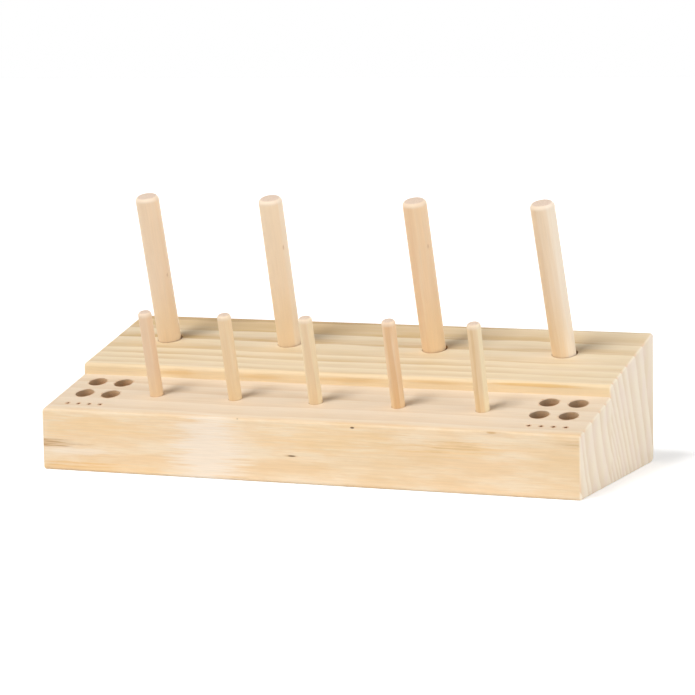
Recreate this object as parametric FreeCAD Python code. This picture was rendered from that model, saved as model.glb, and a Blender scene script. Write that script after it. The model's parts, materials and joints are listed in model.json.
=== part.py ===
import FreeCAD, Part
import math
import os
from FreeCAD import Placement, Rotation, Vector

# A stepped, sloping wooden stand for thread spools and small hand tools. Two boards are glued
# face to face, and loose pegs stand in blind sockets drilled into their sloping tops.
# Millimetres. X runs along the stand, the front faces -Y and Z is up. The origin is the centre
# of the footprint, on the table. A distance up a shelf is measured along its slope.

# Boards
stand_length = 380.0
front_board_depth = 60.0
rear_board_depth = 90.0
front_height = 40.8
riser_height = 7.2
slope_deg = 14.5

# Eased edges
front_bottom_round = 2.0
front_top_round = 2.0
riser_top_round = 3.0
back_top_round = 2.0
back_bottom_round = 5.0
end_round = 1.8

# Large pegs, in two pairs on the rear shelf
large_peg_radius = 8.0
large_peg_standing = 105.7
large_socket_depth = 28.0
large_top_round = 3.0
large_row_from_riser = 50.4
large_row_left_inset = 42.0
large_row_right_inset = 48.3
large_pair_pitch = 91.8
# The large sockets stray a little from square to the shelf: all tip the pegs forward, some sideways too.
large_tip_deg = 1.3
large_lean_deg = (0.0, 0.5, -0.6, -2.4)
# Each is loose as well, with its peg standing against the left of it.
large_socket_slack = 0.5

# Small pegs, evenly spaced along the front shelf
small_peg_count = 5
small_peg_radius = 4.5
small_peg_standing = 59.6
small_socket_depth = 21.0
small_top_round = 2.2
small_row_from_front = 32.5
small_row_left_inset = 70.9
small_row_right_inset = 76.3

# Fit of every peg in its socket: a slight taper on the foot lets it slip in and out by hand
socket_clearance = 0.3
foot_taper = 0.3
foot_chamfer = 1.0
taper_top_above_shelf = 1.0

# Tool holes, a square of four near each end of the front shelf, no two of a square equally deep
tool_hole_radius = 6.5
tool_hole_depth = 20.0
tool_depth_step = 0.5
tool_hole_pitch = 19.6
tool_group_inset = 27.5
# Wood left between the deepest edge of a back hole and the glue line
tool_wall_at_joint = 1.0

# Needle holes, a row in front of each square of tool holes, shallower away from the ends
needle_hole_count = 4
needle_hole_radius = 1.25
needle_hole_depth = 15.0
needle_depth_step = 0.5
needle_hole_pitch = 8.15
needle_row_from_front = 12.0
needle_end_inset = 13.8

# How far a drill starts above the shelf, so that it cuts the whole mouth
drill_lead = 5.0

slope = math.radians(slope_deg)
left_end = -stand_length / 2
right_end = stand_length / 2
front_y = -(front_board_depth + rear_board_depth) / 2
glue_y = front_y + front_board_depth
back_y = glue_y + rear_board_depth
riser_foot_z = front_height + front_board_depth * math.tan(slope)
riser_top_z = riser_foot_z + riser_height
back_z = riser_top_z + rear_board_depth * math.tan(slope)
up_slope = Vector(0, math.cos(slope), math.sin(slope))
square_to_shelf = Vector(0, -math.sin(slope), math.cos(slope))


def on_front_shelf(x, distance):
    return Vector(x, front_y, front_height) + up_slope * distance


def on_rear_shelf(x, distance):
    return Vector(x, glue_y, riser_top_z) + up_slope * distance


def eased_corner(before, corner, after, radius):
    """Where an arc that rounds this corner starts, passes and ends."""
    back = (before - corner).normalize()
    ahead = (after - corner).normalize()
    half_angle = back.getAngle(ahead) / 2
    inward = (back + ahead).normalize()
    reach = radius / math.tan(half_angle)
    middle = corner + inward * (radius / math.sin(half_angle) - radius)
    return corner + back * reach, middle, corner + ahead * reach


def eased_outline(corners):
    """A closed outline in the YZ plane through (y, z, radius) corners, rounded by tangent arcs."""
    points = [Vector(left_end, y, z) for y, z, _ in corners]
    arcs = []
    for i, (_, _, radius) in enumerate(corners):
        after = points[(i + 1) % len(points)]
        if radius:
            arcs.append(eased_corner(points[i - 1], points[i], after, radius))
        else:
            arcs.append((points[i], points[i], points[i]))
    edges = []
    for i, (start, middle, end) in enumerate(arcs):
        if start != end:
            edges.append(Part.Arc(start, middle, end).toShape())
        edges.append(Part.LineSegment(end, arcs[(i + 1) % len(arcs)][0]).toShape())
    return Part.Wire(edges)


def glued_blank():
    """Both boards as one sanded block, before it is drilled."""
    outline = eased_outline([
        (front_y, 0, front_bottom_round),
        (front_y, front_height, front_top_round),
        (glue_y, riser_foot_z, 0),
        (glue_y, riser_top_z, riser_top_round),
        (back_y, back_z, back_top_round),
        (back_y, 0, back_bottom_round),
    ])
    block = Part.Face(outline).extrude(Vector(stand_length, 0, 0))
    rim = [e for e in block.Edges if math.isclose(abs(e.CenterOfMass.x), right_end)]
    return block.makeFillet(end_round, rim)


def front_half_space():
    """Everything in front of the glue line."""
    return Part.makeBox(2 * stand_length, front_board_depth, 2 * back_z,
                        Vector(-stand_length, front_y, -back_z))


def drilled(board, holes, radius):
    """Cut blind holes, each given by its mouth, the way out of it and its depth."""
    drills = [
        Part.makeCylinder(radius, depth + drill_lead, mouth - axis * depth, axis)
        for mouth, axis, depth in holes
    ]
    return board.cut(drills)


def peg(mouth, axis, socket_depth, radius, standing, top_round):
    """A turned peg: chamfered, tapered foot on the socket's floor, plain shaft and rounded top."""
    foot = radius - foot_taper
    shoulder = standing - top_round
    bend = top_round * math.sqrt(0.5)
    sides = [
        (0, -socket_depth),
        (foot - foot_chamfer, -socket_depth),
        (foot, foot_chamfer - socket_depth),
        (radius, taper_top_above_shelf),
        (radius, shoulder),
    ]
    corners = [Vector(r, 0, z) for r, z in sides]
    edges = [Part.LineSegment(a, b).toShape() for a, b in zip(corners, corners[1:])]
    rim_middle = Vector(radius - top_round + bend, 0, shoulder + bend)
    rim_end = Vector(radius - top_round, 0, standing)
    axis_top = Vector(0, 0, standing)
    edges.append(Part.Arc(corners[-1], rim_middle, rim_end).toShape())
    edges.append(Part.LineSegment(rim_end, axis_top).toShape())
    edges.append(Part.LineSegment(axis_top, corners[0]).toShape())
    turned = Part.Face(Part.Wire(edges)).revolve(Vector(0, 0, 0), Vector(0, 0, 1), 360)
    turned.Placement = Placement(mouth, Rotation(Vector(0, 0, 1), axis))
    return turned


def large_sockets():
    first = left_end + large_row_left_inset
    last = right_end - large_row_right_inset
    places = (first, first + large_pair_pitch, last - large_pair_pitch, last)
    forward = Rotation(Vector(1, 0, 0), large_tip_deg).multVec(square_to_shelf)
    sockets = []
    for x, lean in zip(places, large_lean_deg):
        axis = Rotation(Vector(0, 1, 0), lean).multVec(forward)
        sockets.append((on_rear_shelf(x, large_row_from_riser), axis, large_socket_depth))
    return sockets


def small_sockets():
    first = left_end + small_row_left_inset
    pitch = (right_end - small_row_right_inset - first) / (small_peg_count - 1)
    places = [first + i * pitch for i in range(small_peg_count)]
    return [(on_front_shelf(x, small_row_from_front), square_to_shelf, small_socket_depth) for x in places]


def tool_rows():
    """How far up the front shelf the two rows are. The holes lean back, so their floors set the back row."""
    reach_back = tool_hole_radius * math.cos(slope) + tool_hole_depth * math.sin(slope)
    back_row = (front_board_depth - tool_wall_at_joint - reach_back) / math.cos(slope)
    return back_row - tool_hole_pitch, back_row


def tool_holes():
    insets = (tool_group_inset - tool_hole_pitch / 2, tool_group_inset + tool_hole_pitch / 2)
    places = [(inset, row) for row in tool_rows() for inset in insets]
    holes = []
    for i, (inset, row) in enumerate(places):
        depth = tool_hole_depth - i * tool_depth_step
        for x in (left_end + inset, right_end - inset):
            holes.append((on_front_shelf(x, row), square_to_shelf, depth))
    return holes


def needle_holes():
    holes = []
    for i in range(needle_hole_count):
        inset = needle_end_inset + i * needle_hole_pitch
        depth = needle_hole_depth - i * needle_depth_step
        for x in (left_end + inset, right_end - inset):
            holes.append((on_front_shelf(x, needle_row_from_front), square_to_shelf, depth))
    return holes


def front_board(blank):
    board = blank.common(front_half_space())
    board = drilled(board, small_sockets(), small_peg_radius + socket_clearance)
    board = drilled(board, tool_holes(), tool_hole_radius)
    return drilled(board, needle_holes(), needle_hole_radius)


def loosened(mouth, axis, depth):
    """A socket moved to the right, square to its axis."""
    to_right = Vector(0, 1, 0).cross(axis).normalize()
    return mouth + to_right * large_socket_slack, axis, depth


def rear_board(blank):
    board = blank.cut(front_half_space())
    loose = [loosened(*socket) for socket in large_sockets()]
    return drilled(board, loose, large_peg_radius + socket_clearance + large_socket_slack)


def pieces():
    """Every piece of the stand, by name."""
    blank = glued_blank()
    made = {"front_board": front_board(blank), "rear_board": rear_board(blank)}
    for i, socket in enumerate(large_sockets(), start=1):
        made[f"large_peg_{i}"] = peg(*socket, large_peg_radius, large_peg_standing, large_top_round)
    for i, socket in enumerate(small_sockets(), start=1):
        made[f"small_peg_{i}"] = peg(*socket, small_peg_radius, small_peg_standing, small_top_round)
    return made


os.makedirs("parts", exist_ok=True)
for name, shape in pieces().items():
    shape.exportStep(f"parts/{name}.step")
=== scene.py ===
import bpy
import json
import math
from mathutils import Matrix, Vector


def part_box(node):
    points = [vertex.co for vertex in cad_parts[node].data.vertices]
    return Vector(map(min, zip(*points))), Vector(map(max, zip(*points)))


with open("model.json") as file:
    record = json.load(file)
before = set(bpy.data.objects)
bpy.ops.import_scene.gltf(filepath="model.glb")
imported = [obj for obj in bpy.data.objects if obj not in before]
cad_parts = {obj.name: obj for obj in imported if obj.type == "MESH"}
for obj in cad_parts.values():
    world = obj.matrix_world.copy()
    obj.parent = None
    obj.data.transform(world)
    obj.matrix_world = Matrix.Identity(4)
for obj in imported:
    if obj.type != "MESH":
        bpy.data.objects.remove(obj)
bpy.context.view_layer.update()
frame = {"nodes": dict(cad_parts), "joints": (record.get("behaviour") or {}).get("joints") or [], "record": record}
nodes = frame["nodes"]

# The block in millimetres, as its boards lie in the frame
SLOPE = math.radians(14.5)
RISER_HEIGHT = 7.2
front_low, front_high = (corner * 1000 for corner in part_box("front_board"))
rear_low, rear_high = (corner * 1000 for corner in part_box("rear_board"))
FRONT_Y, GLUE_Y, BACK_Y = front_low.y, rear_low.y, rear_high.y
RIGHT_END = front_high.x
FRONT_Z = front_high.z - (GLUE_Y - FRONT_Y) * math.tan(SLOPE)

# How far the rounding of the long edges and of the ends reaches, and how softly a finish stops there
LONG_ROUND, END_ROUND, SOFT = 3.0, 1.9, 0.6

# The front board's growth rings run round the heart of the tree, behind and above the board. These
# are the millimetres from the heart at which one ring ends and the next starts.
FRONT_HEART_Y, FRONT_HEART_Z = 61.0, 66.0
FRONT_RINGS = (62, 78.5, 90, 102, 118, 133, 139.5, 150, 164)

# The rear board's rings lean towards the front as they rise, less so towards the back, and are placed
# by their distance from the heart at one height.
REAR_HEART_FROM_FRONT, REAR_LEVEL_Z = 220.0, 40.0
USUAL_LEAN, LEAN_AT_GLUE, LEAN_LOST_PER_MM = 0.445, 0.6009, 0.00368
REAR_RINGS = (44, 62, 84, 98.5, 115.5, 126, 135.5, 144.5, 153, 160, 166, 173, 181, 190)

# The dark end of a ring gives way to the next one over this distance
RING_EDGE = 0.35

# Needle holes lie in front of this distance from the front, and tool holes behind it
NEEDLES_FROM_FRONT = 16.0


def srgb(r, g, b):
    """A colour written as it should look on screen, as linear RGBA."""
    def linear(c):
        c = c / 255
        return c / 12.92 if c <= 0.04045 else ((c + 0.055) / 1.055) ** 2.4
    return (linear(r), linear(g), linear(b), 1.0)


class Wood:
    """A node material and the few node shapes that these materials are made of. Places are in millimetres."""

    def __init__(self, name):
        self.material = bpy.data.materials.new(name)
        self.material.use_nodes = True
        self.tree = self.material.node_tree
        self.tree.nodes.clear()
        self.shader = self.node("ShaderNodeBsdfPrincipled")
        out = self.node("ShaderNodeOutputMaterial")
        self.tree.links.new(self.shader.outputs["BSDF"], out.inputs["Surface"])
        coords = self.node("ShaderNodeTexCoord")
        self.place = self.vector("SCALE", coords.outputs["Object"], scale=1000.0)
        self.x, self.y, self.z = self.split(self.place)

    def node(self, kind, **settings):
        made = self.tree.nodes.new(kind)
        for key, value in settings.items():
            setattr(made, key, value)
        return made

    def feed(self, socket, value):
        if isinstance(value, bpy.types.NodeSocket):
            self.tree.links.new(value, socket)
        else:
            socket.default_value = value

    def math(self, operation, *values):
        made = self.node("ShaderNodeMath", operation=operation)
        for socket, value in zip(made.inputs, values):
            self.feed(socket, value)
        return made.outputs[0]

    def times(self, *values):
        product = values[0]
        for value in values[1:]:
            product = self.math("MULTIPLY", product, value)
        return product

    def far(self, across, up):
        """The length of the diagonal of two distances."""
        return self.math("SQRT", self.math("ADD", self.times(across, across), self.times(up, up)))

    def vector(self, operation, *values, scale=None):
        made = self.node("ShaderNodeVectorMath", operation=operation)
        for socket, value in zip(made.inputs, values):
            self.feed(socket, value)
        if scale is not None:
            self.feed(made.inputs["Scale"], scale)
        return made.outputs["Value" if operation in ("LENGTH", "DOT_PRODUCT") else "Vector"]

    def split(self, vector):
        made = self.node("ShaderNodeSeparateXYZ")
        self.feed(made.inputs[0], vector)
        return made.outputs

    def join(self, x, y, z):
        made = self.node("ShaderNodeCombineXYZ")
        for socket, value in zip(made.inputs, (x, y, z)):
            self.feed(socket, value)
        return made.outputs[0]

    def stretched(self, per_mm, offset=(0, 0, 0)):
        """This place, scaled by a different amount along each axis."""
        return self.vector("MULTIPLY_ADD", self.place, Vector(per_mm), Vector(offset))

    def noise(self, vector, detail=2.0, roughness=0.5):
        """A cloudy value between 0 and 1, mostly near 0.5."""
        made = self.node("ShaderNodeTexNoise")
        self.feed(made.inputs["Vector"], vector)
        made.inputs["Scale"].default_value = 1.0
        made.inputs["Detail"].default_value = detail
        made.inputs["Roughness"].default_value = roughness
        return made.outputs["Fac"]

    def fade(self, value, start, end, low=0.0, high=1.0):
        """Low at start, high at end, and smooth between. The end may be the smaller of the two."""
        made = self.node("ShaderNodeMapRange", interpolation_type="SMOOTHSTEP")
        for name, v in (("Value", value), ("From Min", start), ("From Max", end),
                        ("To Min", low), ("To Max", high)):
            self.feed(made.inputs[name], v)
        return made.outputs[0]

    def ramp(self, value, stops):
        made = self.node("ShaderNodeValToRGB")
        band = made.color_ramp
        while len(band.elements) < len(stops):
            band.elements.new(0.5)
        for element, (position, level) in zip(band.elements, stops):
            element.position = position
            element.color = (level, level, level, 1)
        self.feed(made.inputs[0], value)
        return made.outputs[0]

    def mix(self, amount, low, high, blend="MIX"):
        made = self.node("ShaderNodeMix", data_type="RGBA", blend_type=blend)
        for socket, value in zip((made.inputs[0], made.inputs[6], made.inputs[7]), (amount, low, high)):
            self.feed(socket, value)
        return made.outputs[2]

    def shaded(self, colour, level):
        return self.mix(1.0, colour, self.join(level, level, level), "MULTIPLY")

    def blob(self, centre, size, edge, ragged, sharp):
        """1 at a place and 0 outside an ellipsoid around it, with a ragged edge."""
        off = self.vector("SUBTRACT", self.place, Vector(centre))
        off = self.vector("DIVIDE", off, Vector(size))
        reach = self.math("MULTIPLY_ADD", ragged, edge, self.vector("LENGTH", off))
        return self.fade(reach, 1.0, sharp)

    def bump(self, height, strength, distance_mm, under=None):
        made = self.node("ShaderNodeBump")
        made.inputs["Strength"].default_value = strength
        made.inputs["Distance"].default_value = distance_mm / 1000
        self.feed(made.inputs["Height"], height)
        if under is not None:
            self.tree.links.new(under, made.inputs["Normal"])
        return made.outputs[0]


# Growth rings

def ring_stops(edges):
    """Each ring starts pale, darkens slowly and ends in a sharp edge."""
    low, span = edges[0], edges[-1] - edges[0]
    stops = []
    for inner, outer in zip(edges, edges[1:]):
        stops.append(((inner - low) / span, 0.0))
        stops.append(((outer - RING_EDGE - low) / span, 1.0))
    return stops


def growth(wood, ring_place, edges):
    """How far each place is into the dark, late part of its ring. Rings wander along the board."""
    slow = wood.noise(wood.stretched((0.0065, 0.02, 0.02)), detail=1.5)
    ripple = wood.noise(wood.stretched((0.03, 0.16, 0.16), (3, 7, 1)), detail=3.0)
    wander = wood.math("MULTIPLY_ADD", slow, 9.0, -4.5)
    wander = wood.times(wander, wood.fade(wood.x, 90, RIGHT_END, 1.0, 0.2))
    wander = wood.math("MULTIPLY_ADD", ripple, 2.4, wander)
    ring = wood.math("ADD", ring_place(wood), wander)
    ring = wood.math("DIVIDE", wood.math("SUBTRACT", ring, edges[0]), edges[-1] - edges[0])
    return wood.ramp(ring, ring_stops(edges))


def front_rings(wood):
    """Distance from the heart of the front board's tree."""
    out = wood.math("SUBTRACT", wood.y, FRONT_HEART_Y)
    up = wood.math("SUBTRACT", wood.z, FRONT_HEART_Z)
    return wood.far(out, up)


def rear_rings(wood):
    """Distance from the heart of the rear board's tree, which lies behind the board."""
    up = wood.math("SUBTRACT", wood.z, REAR_LEVEL_Z)
    y = wood.math("SUBTRACT", wood.y, FRONT_Y)
    guess = wood.math("MULTIPLY_ADD", up, USUAL_LEAN, y)
    lean_at_front = LEAN_AT_GLUE + LEAN_LOST_PER_MM * (GLUE_Y - FRONT_Y)
    lean = wood.math("MULTIPLY_ADD", guess, -LEAN_LOST_PER_MM, lean_at_front)
    return wood.math("SUBTRACT", REAR_HEART_FROM_FRONT, wood.math("MULTIPLY_ADD", up, lean, y))


# The boards

def sanded_face(wood, late, fibre, pale, dark, marks):
    """Wood cut along the grain: rings, paler streaks, warmer veins, a board's own marks, and fibres."""
    streak = wood.noise(wood.stretched((0.012, 0.2, 0.2), (5, 2, 9)), detail=4.0, roughness=0.62)
    vein = wood.noise(wood.stretched((0.03, 0.6, 0.6), (8, 1, 3)), detail=5.0, roughness=0.62)
    patchy = wood.noise(wood.stretched((0.016, 0.07, 0.07), (3, 3, 8)), detail=2.0)
    # Rings show most on the shelf's far side and towards the left, and come and go along the board
    contrast = wood.times(
        wood.fade(wood.y, GLUE_Y, GLUE_Y + 62, 0.5, 1.0),
        wood.fade(wood.x, 20, 160, 1.0, 0.75),
        wood.fade(patchy, 0.3, 0.7, 0.6, 1.1),
        wood.fade(wood.y, BACK_Y - 2.5, BACK_Y - 0.5, 1.0, 0.25))
    face = wood.mix(wood.times(wood.fade(late, 0.05, 1.0), contrast), pale, dark)
    face = wood.mix(wood.fade(streak, 0.44, 0.7, 0.0, 0.4), face, srgb(238, 220, 196))
    face = wood.mix(wood.fade(vein, 0.55, 0.72, 0.0, 0.3), face, srgb(229, 194, 142))
    for amount, colour in marks(wood, vein):
        face = wood.mix(amount, face, colour)
    return wood.shaded(face, wood.fade(fibre, 0.3, 0.7, 0.955, 1.025))


def end_grain(wood, late, pores):
    """Wood cut across the grain, with rings, blotches and pores."""
    blotch = wood.noise(wood.stretched((0.1, 0.09, 0.05), (2, 2, 2)), detail=3.0)
    ends = wood.mix(wood.fade(late, 0.1, 1.0), srgb(250, 236, 214), srgb(237, 217, 189))
    ends = wood.mix(wood.fade(blotch, 0.4, 0.7, 0.0, 0.5), ends, srgb(245, 225, 212))
    return wood.shaded(ends, wood.fade(pores, 0.3, 0.72, 0.96, 1.02))


def with_ends(wood, late, face, ends, faces_right):
    """End grain where a board faces along its length, with corners round it: pale, which is partly wear and partly
    a painted highlight, and orange where late wood meets them.
    """
    along = wood.math("ABSOLUTE", faces_right)
    corner = wood.times(wood.fade(along, 0.2, 0.45), wood.fade(along, 0.97, 0.8))
    colour = wood.mix(wood.fade(along, 0.45, 0.75), face, ends)
    # Pale corners: partly sanded wear, partly a painted highlight along the rounded edges
    colour = wood.mix(wood.times(corner, 0.45), colour, srgb(250, 236, 212))
    return wood.mix(wood.times(corner, wood.fade(late, 0.55, 0.95), 0.35), colour, srgb(228, 168, 112))


def drilled_depth(wood):
    """How deep a place is below its shelf, and 1 where it is on the wall of a hole."""
    from_front = wood.math("SUBTRACT", wood.y, FRONT_Y)
    shelf_z = wood.math("MULTIPLY_ADD", from_front, math.tan(SLOPE), FRONT_Z)
    behind = wood.math("GREATER_THAN", wood.y, GLUE_Y)
    shelf_z = wood.math("MULTIPLY_ADD", behind, RISER_HEIGHT, shelf_z)
    depth = wood.math("SUBTRACT", shelf_z, wood.z)
    from_middle = wood.math("ABSOLUTE", wood.x)
    on_riser = wood.times(
        wood.fade(wood.y, GLUE_Y - 0.3, GLUE_Y - 0.05),
        wood.fade(wood.y, GLUE_Y + LONG_ROUND + SOFT, GLUE_Y + LONG_ROUND))
    inside = wood.times(
        wood.fade(depth, 0.2, 0.7),
        wood.fade(wood.y, FRONT_Y + LONG_ROUND, FRONT_Y + LONG_ROUND + SOFT),
        wood.fade(wood.y, BACK_Y - LONG_ROUND, BACK_Y - LONG_ROUND - SOFT),
        wood.fade(wood.z, 1.5, 2.0),
        wood.fade(from_middle, RIGHT_END - END_ROUND, RIGHT_END - END_ROUND - SOFT),
        wood.math("SUBTRACT", 1.0, on_riser))
    return depth, inside


def painted_shade_drilled_wall(wood, depth, pores, faces_right):
    """Drilled walls are browner than the sanded faces. Painted shade makes them darker deep down, on the left of
    each hole and in the holes further right, and deepens the needle holes' orange.
    """
    # Painted shade: the wall colour darkens with depth below the shelf, standing in for the shade deep in a hole
    wall = wood.mix(wood.fade(depth, 0.4, 6.5), srgb(234, 198, 155), srgb(222, 178, 131))
    # Painted shade: walls that face right, on the left side of each hole, are darkened
    wall = wood.shaded(wall, wood.fade(faces_right, -0.1, 0.85, 1.1, 0.55))
    # Painted shade: holes further to the right are darkened
    wall = wood.shaded(wall, wood.fade(wood.x, -60, 60, 1.0, 0.85))
    # The needle holes' walls are a dark orange, partly the wood's own colour and partly painted shade for the
    # narrow holes
    needles_end = FRONT_Y + NEEDLES_FROM_FRONT
    wall = wood.mix(wood.fade(wood.y, needles_end + 1, needles_end - 1), wall, srgb(160, 82, 26))
    return wood.shaded(wall, wood.fade(pores, 0.3, 0.7, 0.85, 1.1))


def board_material(name, ring_place, edges, pale, dark, marks):
    wood = Wood(name)
    late = growth(wood, ring_place, edges)
    fibre = wood.noise(wood.stretched((0.05, 1.3, 1.3)), detail=4.0, roughness=0.65)
    pores = wood.noise(wood.stretched((0.4, 2.4, 2.4)), detail=2.0, roughness=0.7)
    faces_right = wood.split(wood.node("ShaderNodeNewGeometry").outputs["Normal"])[0]

    face = sanded_face(wood, late, fibre, pale, dark, marks)
    colour = with_ends(wood, late, face, end_grain(wood, late, pores), faces_right)
    depth, inside = drilled_depth(wood)
    wall = painted_shade_drilled_wall(wood, depth, pores, faces_right)
    wood.feed(wood.shader.inputs["Base Color"], wood.mix(wood.times(inside, 0.92), colour, wall))

    # The walls are rougher too
    rough = wood.fade(fibre, 0.2, 0.8, 0.5, 0.66)
    wood.feed(wood.shader.inputs["Roughness"], wood.math("MULTIPLY_ADD", inside, 0.25, rough))
    wood.shader.inputs["Specular IOR Level"].default_value = 0.3
    relief = wood.bump(late, 0.1, 0.06)
    relief = wood.bump(fibre, 0.3, 0.1, relief)
    wood.feed(wood.shader.inputs["Normal"], wood.bump(pores, 0.25, 0.08, relief))
    return wood.material


# Marks of the two boards, each an amount and a colour

def spots_of(wood, ragged, spots, threads=1.0):
    """Marks given by colour, strength, centre, size, raggedness and how soon they reach full strength."""
    return [
        (wood.times(wood.blob(centre, size, edge, ragged, sharp), threads, strength), colour)
        for colour, strength, centre, size, edge, sharp in spots
    ]


def bores():
    """The mouth and radius of each tool and needle hole."""
    for mount in frame["record"]["mounts"]:
        if mount["kind"] == "bore":
            depth = mount["dims"]["length_mm"]
            yield Vector(mount["pos_m"]) * 1000 + Vector(mount["axis"]) * depth / 2, mount["dims"]["r_mm"]


def front_marks(wood, vein):
    """The front face is cloudy, with pale and warm patches, thin brown streaks and a few tiny knots."""
    ragged = wood.math("SUBTRACT", vein, 0.5)
    pale, honey, orange = srgb(245, 230, 212), srgb(232, 200, 154), srgb(241, 205, 152)
    tan, brown, dark = srgb(226, 182, 122), srgb(196, 152, 96), srgb(178, 130, 72)
    knot, torn = srgb(88, 54, 28), srgb(214, 160, 104)
    on_front = wood.fade(wood.y, FRONT_Y + 7, FRONT_Y + 1)
    cloud = wood.noise(wood.stretched((0.022, 0.1, 0.11), (1, 4, 2)), detail=5.0, roughness=0.6)
    mottle = wood.mix(wood.fade(cloud, 0.36, 0.64), srgb(245, 223, 191), srgb(239, 205, 159))
    short = wood.noise(wood.stretched((0.06, 0.8, 0.8), (6, 3, 5)), detail=5.0, roughness=0.65)
    mottle = wood.mix(wood.fade(short, 0.5, 0.75, 0.0, 0.45), mottle, srgb(230, 192, 142))
    patches = [
        (pale, 0.8, (-66, FRONT_Y, 18), (36, 8, 40), 2.2, 0.3),
        (pale, 0.6, (-168, FRONT_Y, 13.6), (42, 5, 3.4), 2.2, 0.3),
        (orange, 0.5, (-150, FRONT_Y, 31), (52, 5, 10), 4.0, 0.2),
        (orange, 0.5, (18, FRONT_Y, 30), (70, 5, 12), 4.0, 0.2),
        (orange, 0.6, (106, FRONT_Y, 29), (40, 4, 6), 4.0, 0.3),
        (orange, 0.5, (-140, FRONT_Y, 3), (62, 5, 4), 3.5, 0.3),
        (honey, 0.45, (52, FRONT_Y, 18), (58, 5, 24), 3.0, 0.2),
        (honey, 0.5, (180, FRONT_Y, 24), (38, 5, 26), 2.5, 0.2),
    ]
    thread = wood.noise(wood.stretched((0.016, 1.0, 1.0), (4, 4, 4)), detail=3.0, roughness=0.6)
    threads = wood.fade(thread, 0.45, 0.58, 0.3, 1.0)
    streaks = [
        (dark, 1.0, (-191, FRONT_Y, 18.4), (34, 5, 3.4), 2.4, 0.3),
        (tan, 0.6, (-186, FRONT_Y, 3.0), (60, 5, 5.0), 3.0, 0.2),
        (brown, 0.6, (132, FRONT_Y, 39.6), (16, 5, 1.8), 2.2, 0.2),
        (brown, 0.6, (186, FRONT_Y, 35), (16, 5, 3.5), 3.0, 0.2),
        (brown, 0.35, (100, FRONT_Y, 30), (34, 5, 4.0), 4.0, 0.2),
    ]
    knots = [
        (brown, 0.7, (131, FRONT_Y, 39.9), (4.5, 5, 0.8), 2.0, 0.4),
        (brown, 0.5, (-6.8, FRONT_Y, 18.2), (6.5, 3, 0.9), 1.0, 0.3),
        (knot, 0.9, (-6.5, FRONT_Y, 18.2), (3.4, 3, 0.6), 0.6, 0.4),
        (knot, 0.9, (36.4, FRONT_Y, 38.7), (1.7, 3, 0.8), 0.5, 0.5),
        (knot, 0.6, (-45, FRONT_Y + 1, 40.6), (1.0, 3, 0.3), 0.5, 0.5),
    ]
    rims = [(torn, 0.55, mouth, [radius + 0.9] * 3, 1.0, 0.8) for mouth, radius in bores()]
    return ([(wood.times(on_front, 0.75), mottle)] + spots_of(wood, ragged, patches)
            + spots_of(wood, ragged, streaks, threads) + spots_of(wood, ragged, knots + rims))


def rear_marks(wood, vein):
    """The riser is warm, with darker flames. A darker band and strip end the shelf at the back."""
    ragged = wood.math("SUBTRACT", vein, 0.5)
    gold, flame = srgb(246, 218, 174), srgb(229, 190, 128)
    band, strip = srgb(210, 178, 130), srgb(192, 158, 112)
    on_riser = wood.fade(wood.y, GLUE_Y + 4.0, GLUE_Y + 0.8)
    near_back = wood.times(
        wood.fade(wood.y, BACK_Y - 22, BACK_Y - 12),
        wood.fade(wood.z, 78.0, 80.0),
        wood.fade(wood.x, -60, 170, 0.65, 0.1))
    ragged_back = wood.math("MULTIPLY_ADD", ragged, 9.0, wood.y)
    narrowing = wood.math("MULTIPLY_ADD", wood.x, -0.015, ragged_back)
    at_back = wood.times(
        wood.fade(narrowing, BACK_Y - 6.2, BACK_Y - 4.6),
        wood.fade(wood.z, 82.0, 83.5), 0.75)
    flames = [
        (flame, 0.6, (-118, GLUE_Y, 60), (22, 3, 3.0), 1.6, 0.2),
        (flame, 0.5, (-55, GLUE_Y, 59.5), (24, 3, 2.6), 1.6, 0.2),
        (flame, 0.5, (10, GLUE_Y, 60), (34, 3, 2.6), 1.6, 0.2),
        (flame, 0.5, (70, GLUE_Y, 61), (36, 3, 2.2), 1.6, 0.2),
        (flame, 0.9, (140, GLUE_Y, 62), (46, 3, 1.8), 1.6, 0.3),
    ]
    # The back is cut along the rings, so they come out there as long arches
    on_back = wood.fade(wood.y, BACK_Y - 2.5, BACK_Y - 0.5)
    flow = wood.noise(wood.stretched((0.0042, 0.0, 0.016), (2, 0, 5)), detail=2.0, roughness=0.35)
    arch = wood.math("FRACT", wood.math("MULTIPLY_ADD", flow, 7.0, wood.times(wood.z, 0.07)))
    arches = wood.times(on_back, wood.fade(arch, 0.25, 0.95), wood.fade(arch, 1.0, 0.95), 0.5)
    return ([(near_back, band), (at_back, strip), (arches, band), (wood.times(on_riser, 0.6), gold)]
            + spots_of(wood, ragged, flames))


# The pegs

class Peg:
    """What one peg's wood shows: its tint, its stripes and its flaws.

    A stripe is a turn, half its width, a colour and a strength. A flaw is a turn and the millimetres
    below the top. Turns are in degrees round the peg, from the front towards the right.
    """

    def __init__(self, tint, stripes=(), flaws=()):
        self.tint, self.stripes, self.flaws = tint, stripes, flaws


class PegWood(Wood):
    """Wood whose places are measured across a peg (u, v), along it (t) and round it (turn)."""

    def __init__(self, name, foot, axis, seed):
        super().__init__(name)
        self.seed = seed
        right = Vector((0, 1, 0)).cross(axis).normalized()
        front = right.cross(axis)
        off = self.vector("SUBTRACT", self.place, foot)
        self.u = self.vector("DOT_PRODUCT", off, right)
        self.v = self.vector("DOT_PRODUCT", off, front)
        self.t = self.vector("DOT_PRODUCT", off, axis)
        self.turn = self.times(self.math("ARCTAN2", self.u, self.v), math.degrees(1))

    def along(self, radial, axial, shift):
        """This place, stretched along the peg, and elsewhere in the noise for each peg."""
        return self.join(
            self.math("MULTIPLY_ADD", self.u, radial, self.seed * 3.7 + shift),
            self.math("MULTIPLY_ADD", self.v, radial, self.seed * 1.9),
            self.math("MULTIPLY_ADD", self.t, axial, self.seed * 5.3))


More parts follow.
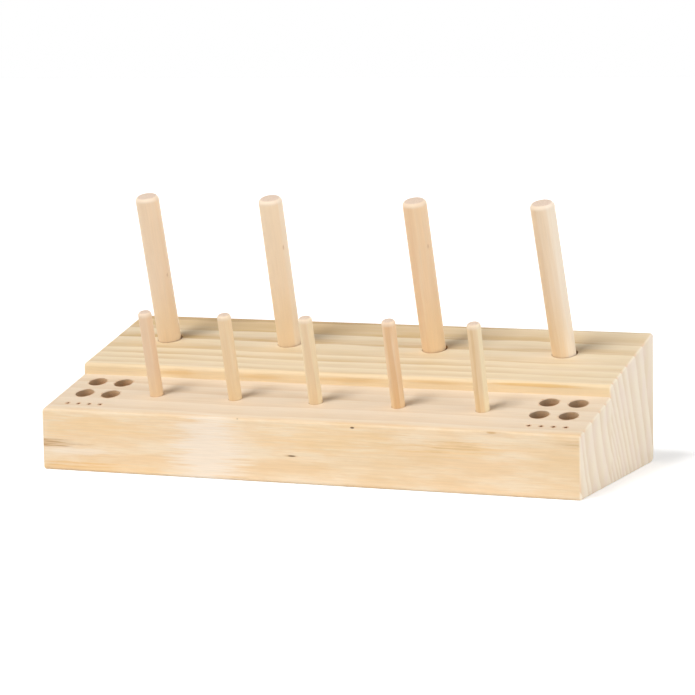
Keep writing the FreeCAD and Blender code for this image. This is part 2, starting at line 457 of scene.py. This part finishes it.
def striped(wood, colour, stripes, bands):
    """Stripes that run the length of a peg, with wavering edges."""
    wobble = wood.math("MULTIPLY_ADD", wood.math("SUBTRACT", bands, 0.5), 60.0, wood.turn)
    for middle, half, stripe, strength in stripes:
        from_middle = wood.math("ABSOLUTE", wood.math("SUBTRACT", wobble, middle))
        colour = wood.mix(wood.fade(from_middle, half * 1.35, half * 0.55, 0.0, strength), colour, stripe)
    return colour


def flawed(wood, colour, flaws, fibre, top):
    """Small brown flaws in a peg's side, longer along the grain than across it."""
    half_turn, half_length = 7.0, 2.4
    for middle, below in flaws:
        across = wood.math("DIVIDE", wood.math("SUBTRACT", wood.turn, middle), half_turn)
        up = wood.math("DIVIDE", wood.math("SUBTRACT", wood.t, top - below), half_length)
        ragged = wood.math("MULTIPLY_ADD", wood.math("SUBTRACT", fibre, 0.5), 2.0, wood.far(across, up))
        colour = wood.mix(wood.fade(ragged, 1.0, 0.3, 0.0, 0.4), colour, srgb(192, 146, 98))
    return colour


def peg_material(name, peg, foot, axis, bottom, top, seed):
    wood = PegWood(name, foot, axis, seed)
    figure = wood.noise(wood.along(0.13, 0.012, 0), detail=2.5)
    bands = wood.noise(wood.along(0.45, 0.02, 9), detail=3.0)
    flecks = wood.noise(wood.along(3.2, 0.33, 4), detail=2.0, roughness=0.6)
    fibre = wood.noise(wood.along(2.4, 0.05, 2), detail=3.0, roughness=0.6)

    # The side, which is yellower towards the foot
    warm = tuple(c * k for c, k in zip(peg.tint, (0.99, 0.96, 0.91, 1.0)))
    colour = wood.mix(wood.fade(figure, 0.35, 0.7), peg.tint, warm)
    colour = wood.mix(wood.fade(bands, 0.48, 0.75, 0.0, 0.3), colour, srgb(244, 222, 196))
    length = top - bottom
    yellower = wood.fade(wood.t, top - 0.4 * length, top - 0.75 * length, 0.0, 0.35)
    colour = wood.mix(yellower, colour, srgb(243, 212, 160))
    colour = striped(wood, colour, peg.stripes, bands)
    colour = wood.mix(wood.fade(flecks, 0.64, 0.8, 0.0, 0.18), colour, srgb(212, 172, 130))
    colour = flawed(wood, colour, peg.flaws, fibre, top)
    colour = wood.shaded(colour, wood.fade(fibre, 0.3, 0.7, 0.975, 1.025))

    # The rounded rim is sanded paler, and the top shows end grain
    rim = wood.times(wood.fade(wood.t, top - 4.0, top - 2.0), 0.5)
    colour = wood.mix(rim, colour, srgb(246, 228, 208))
    disc = wood.noise(wood.along(1.6, 0.1, 6), detail=3.0, roughness=0.6)
    end = wood.mix(wood.fade(disc, 0.35, 0.65), srgb(232, 209, 190), srgb(214, 186, 164))
    colour = wood.mix(wood.fade(wood.t, top - 0.7, top - 0.1, 0.0, 0.85), colour, end)

    wood.feed(wood.shader.inputs["Base Color"], colour)
    wood.feed(wood.shader.inputs["Roughness"], wood.fade(fibre, 0.2, 0.8, 0.42, 0.58))
    wood.shader.inputs["Specular IOR Level"].default_value = 0.35
    relief = wood.bump(fibre, 0.25, 0.06)
    wood.feed(wood.shader.inputs["Normal"], wood.bump(flecks, 0.2, 0.05, relief))
    return wood.material


def dress(node, material):
    mesh = nodes[node].data
    mesh.materials.clear()
    mesh.materials.append(material)


dress("front_board", board_material("front board softwood", front_rings, FRONT_RINGS,
                                    srgb(237, 217, 192), srgb(219, 188, 148), front_marks))
dress("rear_board", board_material("rear board softwood", rear_rings, REAR_RINGS,
                                   srgb(236, 217, 185), srgb(209, 175, 121), rear_marks))

cream, yellow = srgb(250, 235, 214), srgb(246, 230, 194)
orange, brown, russet = srgb(224, 172, 114), srgb(220, 178, 122), srgb(236, 194, 150)
pegs = {
    "large_peg_1": Peg(srgb(246, 221, 192), flaws=[(70, 57)]),
    "large_peg_2": Peg(srgb(248, 224, 193), [(95, 36, cream, 0.5)], [(60, 34)]),
    "large_peg_3": Peg(srgb(247, 217, 181), [(-30, 30, russet, 0.4)], [(64, 31)]),
    "large_peg_4": Peg(srgb(245, 223, 196), [(85, 45, cream, 0.85), (-32, 26, brown, 0.25)]),
    "small_peg_1": Peg(srgb(237, 206, 173)),
    "small_peg_2": Peg(srgb(240, 212, 173), [(70, 40, yellow, 0.2)]),
    "small_peg_3": Peg(srgb(238, 210, 172), [(80, 34, yellow, 0.6), (-45, 24, yellow, 0.4)]),
    "small_peg_4": Peg(srgb(240, 206, 166), [(14, 30, orange, 0.5)]),
    "small_peg_5": Peg(srgb(236, 208, 168), [(80, 42, yellow, 0.8), (-5, 16, brown, 0.35)]),
}
for seed, joint in enumerate(frame["joints"], start=1):
    name = joint["child"]
    axis = Vector(joint["axis"]).normalized()
    low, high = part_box(name)
    heights = [v.co.dot(axis) * 1000 for v in nodes[name].data.vertices]
    middle = (low + high) / 2 * 1000
    foot = middle - axis * middle.dot(axis)
    dress(name, peg_material(name.replace("_", " ") + " hardwood", pegs[name], foot, axis,
                             min(heights), max(heights), seed))

# Camera fitted to the photograph, taken as 695 by 695: metres and millimetres, and degrees from the front
CAMERA_PLACE = Vector((0.758196, -1.734552, 0.3315))
CAMERA_LENS, SENSOR_WIDTH, FARTHEST = 148.85, 36.0, 50.0
CAMERA_AZIMUTH, CAMERA_ELEVATION, CAMERA_ROLL = 23.5686, 7.5883, -1.0686

camera = bpy.data.objects.new("camera", bpy.data.cameras.new("camera"))
camera.data.lens = CAMERA_LENS
camera.data.sensor_width = SENSOR_WIDTH
camera.data.clip_end = FARTHEST
camera.matrix_world = (
    Matrix.Translation(CAMERA_PLACE)
    @ Matrix.Rotation(math.radians(CAMERA_AZIMUTH), 4, "Z")
    @ Matrix.Rotation(math.radians(90 - CAMERA_ELEVATION), 4, "X")
    @ Matrix.Rotation(math.radians(CAMERA_ROLL), 4, "Z"))
bpy.context.scene.collection.objects.link(camera)
bpy.context.scene.camera = camera

# A white floor under an even white sky
FLOOR_REACH = 6.0
floor_mesh = bpy.data.meshes.new("floor")
corners = [(x * FLOOR_REACH, y * FLOOR_REACH, 0) for x, y in ((-1, -1), (1, -1), (1, 1), (-1, 1))]
floor_mesh.from_pydata(corners, [], [(0, 1, 2, 3)])
floor = bpy.data.objects.new("floor", floor_mesh)
bpy.context.scene.collection.objects.link(floor)
paper = bpy.data.materials.new("white floor")
paper.use_nodes = True
sheet = paper.node_tree.nodes["Principled BSDF"]
sheet.inputs["Base Color"].default_value = (0.85, 0.85, 0.85, 1)
sheet.inputs["Roughness"].default_value = 0.9
sheet.inputs["Specular IOR Level"].default_value = 0.0
sheet.inputs["Emission Color"].default_value = (1, 1, 1, 1)
floor_mesh.materials.append(paper)

world = bpy.data.worlds.new("studio")
bpy.context.scene.world = world
world.use_nodes = True
sky = world.node_tree.nodes["Background"]
sky.inputs["Color"].default_value = (1, 1, 1, 1)


def seen_level(tree, socket, hidden, shown):
    """One strength where the eye meets this surface and another where it lights the object."""
    path = tree.nodes.new("ShaderNodeLightPath")
    seen = path.outputs["Is Camera Ray"]
    for ray in ("Is Glossy Ray", "Is Transmission Ray"):
        either = tree.nodes.new("ShaderNodeMath")
        either.operation = "MAXIMUM"
        tree.links.new(seen, either.inputs[0])
        tree.links.new(path.outputs[ray], either.inputs[1])
        seen = either.outputs[0]
    level = tree.nodes.new("ShaderNodeMapRange")
    level.inputs["To Min"].default_value = hidden
    level.inputs["To Max"].default_value = shown
    tree.links.new(seen, level.inputs["Value"])
    tree.links.new(level.outputs[0], socket)


seen_level(world.node_tree, sky.inputs["Strength"], hidden=0.08, shown=1.0)
seen_level(paper.node_tree, sheet.inputs["Emission Strength"], hidden=0.0, shown=0.46)


def softbox(name, azimuth, elevation, width, power):
    """A far, soft light, placed by its angles in degrees from the front of the stand."""
    light = bpy.data.lights.new(name, "SUN")
    light.energy = power
    light.angle = math.radians(width)
    lamp = bpy.data.objects.new(name, light)
    lamp.rotation_euler = (math.radians(90 - elevation), 0, math.radians(azimuth))
    bpy.context.scene.collection.objects.link(lamp)


softbox("key", azimuth=-25, elevation=57, width=20, power=1.98)
softbox("fill", azimuth=72, elevation=12, width=60, power=2.02)
softbox("side", azimuth=-66, elevation=13, width=64, power=1.02)
softbox("back", azimuth=180, elevation=11, width=34, power=1.0)

bpy.context.scene.view_settings.view_transform = "Standard"
